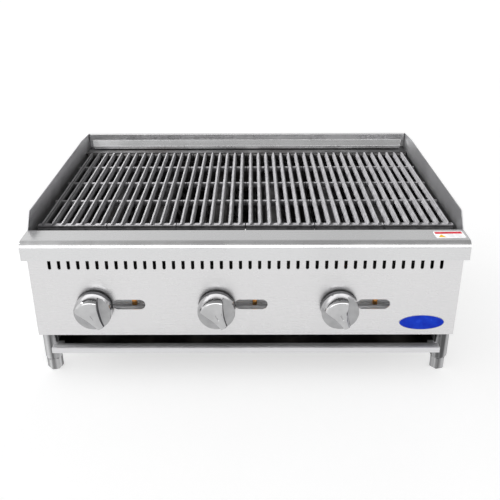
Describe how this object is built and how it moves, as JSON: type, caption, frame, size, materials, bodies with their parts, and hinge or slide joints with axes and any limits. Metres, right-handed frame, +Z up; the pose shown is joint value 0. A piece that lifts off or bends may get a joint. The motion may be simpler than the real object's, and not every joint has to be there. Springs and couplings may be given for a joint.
{
  "type": "gas charbroiler grill",
  "caption": "Countertop gas charbroiler with lift-off cast-iron grates, U burners under steel radiants, knob-turned valves, a sliding drip tray and levelling feet.",
  "frame": {"origin": "on the floor, under the middle of the whole appliance", "axes": "+X to the user's right, +Y to the back, +Z up; the knobs face -Y"},
  "size_m": [0.914, 0.724, 0.381],
  "materials": {
    "stainless": "satin",
    "panel_steel": "fine satin",
    "firebox_steel": "heat-darkened",
    "frame_steel": "satin",
    "pipe": "satin",
    "burner_steel": "rough",
    "radiant_steel": "heat-darkened",
    "grate_iron": "rough cast with worn tops",
    "knob_chrome": "polished",
    "brass": "satin",
    "aluminium_tube": "satin",
    "badge_blue": "gloss with a silver rim",
    "label": "gloss",
    "screw_steel": "satin",
    "tray_steel": "satin"
  },
  "bodies": {
    "chassis": {"side_panel_left": "stainless", "side_panel_right": "stainless", "back_panel": "stainless", "rear_splash": "stainless", "front_ledge": "stainless", "control_panel": "panel_steel", "base_frame": "frame_steel", "liner_left": "firebox_steel", "liner_right": "firebox_steel", "liner_rear": "firebox_steel", "liner_front": "firebox_steel", "grate_rest_front": "firebox_steel", "grate_rest_rear": "firebox_steel", "gas_manifold": "pipe", "gas_inlet": "pipe", "valve_left": "brass", "valve_middle": "brass", "valve_right": "brass", "orifice_hoods": "brass", "burner_left": "burner_steel", "burner_middle": "burner_steel", "burner_right": "burner_steel", "pilot_burners": "screw_steel", "pilot_tubes": "aluminium_tube", "pilot_valves": "brass", "tray_runners": "frame_steel", "leg_front_left": "stainless", "leg_front_right": "stainless", "leg_rear_left": "stainless", "leg_rear_right": "stainless", "badge": "badge_blue", "caution_label": "label", "panel_screws": "screw_steel"},
    "knob_left_body": {"knob_left": "knob_chrome", "valve_stem_left": "brass"},
    "knob_middle_body": {"knob_middle": "knob_chrome", "valve_stem_middle": "brass"},
    "knob_right_body": {"knob_right": "knob_chrome", "valve_stem_right": "brass"},
    "pilot_screw_left_body": {"pilot_screw_left": "brass"},
    "pilot_screw_middle_body": {"pilot_screw_middle": "brass"},
    "pilot_screw_right_body": {"pilot_screw_right": "brass"},
    "radiant_1_body": {"radiant_1": "radiant_steel"},
    "radiant_2_body": {"radiant_2": "radiant_steel"},
    "radiant_3_body": {"radiant_3": "radiant_steel"},
    "radiant_4_body": {"radiant_4": "radiant_steel"},
    "radiant_5_body": {"radiant_5": "radiant_steel"},
    "radiant_6_body": {"radiant_6": "radiant_steel"},
    "grate_1_body": {"grate_1": "grate_iron"},
    "grate_2_body": {"grate_2": "grate_iron"},
    "grate_3_body": {"grate_3": "grate_iron"},
    "grate_4_body": {"grate_4": "grate_iron"},
    "grate_5_body": {"grate_5": "grate_iron"},
    "grate_6_body": {"grate_6": "grate_iron"},
    "drip_tray_body": {"drip_tray": "tray_steel"},
    "foot_front_left_body": {"foot_front_left": "stainless"},
    "foot_front_right_body": {"foot_front_right": "stainless"},
    "foot_rear_left_body": {"foot_rear_left": "stainless"},
    "foot_rear_right_body": {"foot_rear_right": "stainless"}
  },
  "joints": [
    {"name": "knob_left_turn", "type": "hinge", "parent": "chassis", "child": "knob_left_body", "pos_m": [-0.326, -0.317, 0.1725], "axis": [0, -1, 0], "range_deg": [0, 180]},
    {"name": "knob_middle_turn", "type": "hinge", "parent": "chassis", "child": "knob_middle_body", "pos_m": [-0.062, -0.317, 0.1725], "axis": [0, -1, 0], "range_deg": [0, 180]},
    {"name": "knob_right_turn", "type": "hinge", "parent": "chassis", "child": "knob_right_body", "pos_m": [0.202, -0.317, 0.1725], "axis": [0, -1, 0], "range_deg": [0, 180]},
    {"name": "pilot_screw_left_turn", "type": "hinge", "parent": "chassis", "child": "pilot_screw_left_body", "pos_m": [-0.244, -0.294, 0.176], "axis": [0, -1, 0], "range_deg": [0, 360]},
    {"name": "pilot_screw_middle_turn", "type": "hinge", "parent": "chassis", "child": "pilot_screw_middle_body", "pos_m": [0.02, -0.294, 0.176], "axis": [0, -1, 0], "range_deg": [0, 360]},
    {"name": "pilot_screw_right_turn", "type": "hinge", "parent": "chassis", "child": "pilot_screw_right_body", "pos_m": [0.284, -0.294, 0.176], "axis": [0, -1, 0], "range_deg": [0, 360]},
    {"name": "radiant_1_lift", "type": "slide", "parent": "chassis", "child": "radiant_1_body", "axis": [0, 0, 1], "range_m": [0, 0.025]},
    {"name": "radiant_2_lift", "type": "slide", "parent": "chassis", "child": "radiant_2_body", "axis": [0, 0, 1], "range_m": [0, 0.025]},
    {"name": "radiant_3_lift", "type": "slide", "parent": "chassis", "child": "radiant_3_body", "axis": [0, 0, 1], "range_m": [0, 0.025]},
    {"name": "radiant_4_lift", "type": "slide", "parent": "chassis", "child": "radiant_4_body", "axis": [0, 0, 1], "range_m": [0, 0.025]},
    {"name": "radiant_5_lift", "type": "slide", "parent": "chassis", "child": "radiant_5_body", "axis": [0, 0, 1], "range_m": [0, 0.025]},
    {"name": "radiant_6_lift", "type": "slide", "parent": "chassis", "child": "radiant_6_body", "axis": [0, 0, 1], "range_m": [0, 0.025]},
    {"name": "grate_1_lift", "type": "slide", "parent": "chassis", "child": "grate_1_body", "axis": [0, 0, 1], "range_m": [0, 0.12]},
    {"name": "grate_2_lift", "type": "slide", "parent": "chassis", "child": "grate_2_body", "axis": [0, 0, 1], "range_m": [0, 0.12]},
    {"name": "grate_3_lift", "type": "slide", "parent": "chassis", "child": "grate_3_body", "axis": [0, 0, 1], "range_m": [0, 0.12]},
    {"name": "grate_4_lift", "type": "slide", "parent": "chassis", "child": "grate_4_body", "axis": [0, 0, 1], "range_m": [0, 0.12]},
    {"name": "grate_5_lift", "type": "slide", "parent": "chassis", "child": "grate_5_body", "axis": [0, 0, 1], "range_m": [0, 0.12]},
    {"name": "grate_6_lift", "type": "slide", "parent": "chassis", "child": "grate_6_body", "axis": [0, 0, 1], "range_m": [0, 0.12]},
    {"name": "drip_tray_slide", "type": "slide", "parent": "chassis", "child": "drip_tray_body", "axis": [0, -1, 0], "range_m": [0, 0.45]},
    {"name": "foot_front_left_level", "type": "slide", "parent": "chassis", "child": "foot_front_left_body", "axis": [0, 0, -1], "range_m": [0, 0.025]},
    {"name": "foot_front_right_level", "type": "slide", "parent": "chassis", "child": "foot_front_right_body", "axis": [0, 0, -1], "range_m": [0, 0.025]},
    {"name": "foot_rear_left_level", "type": "slide", "parent": "chassis", "child": "foot_rear_left_body", "axis": [0, 0, -1], "range_m": [0, 0.025]},
    {"name": "foot_rear_right_level", "type": "slide", "parent": "chassis", "child": "foot_rear_right_body", "axis": [0, 0, -1], "range_m": [0, 0.025]}
  ]
}
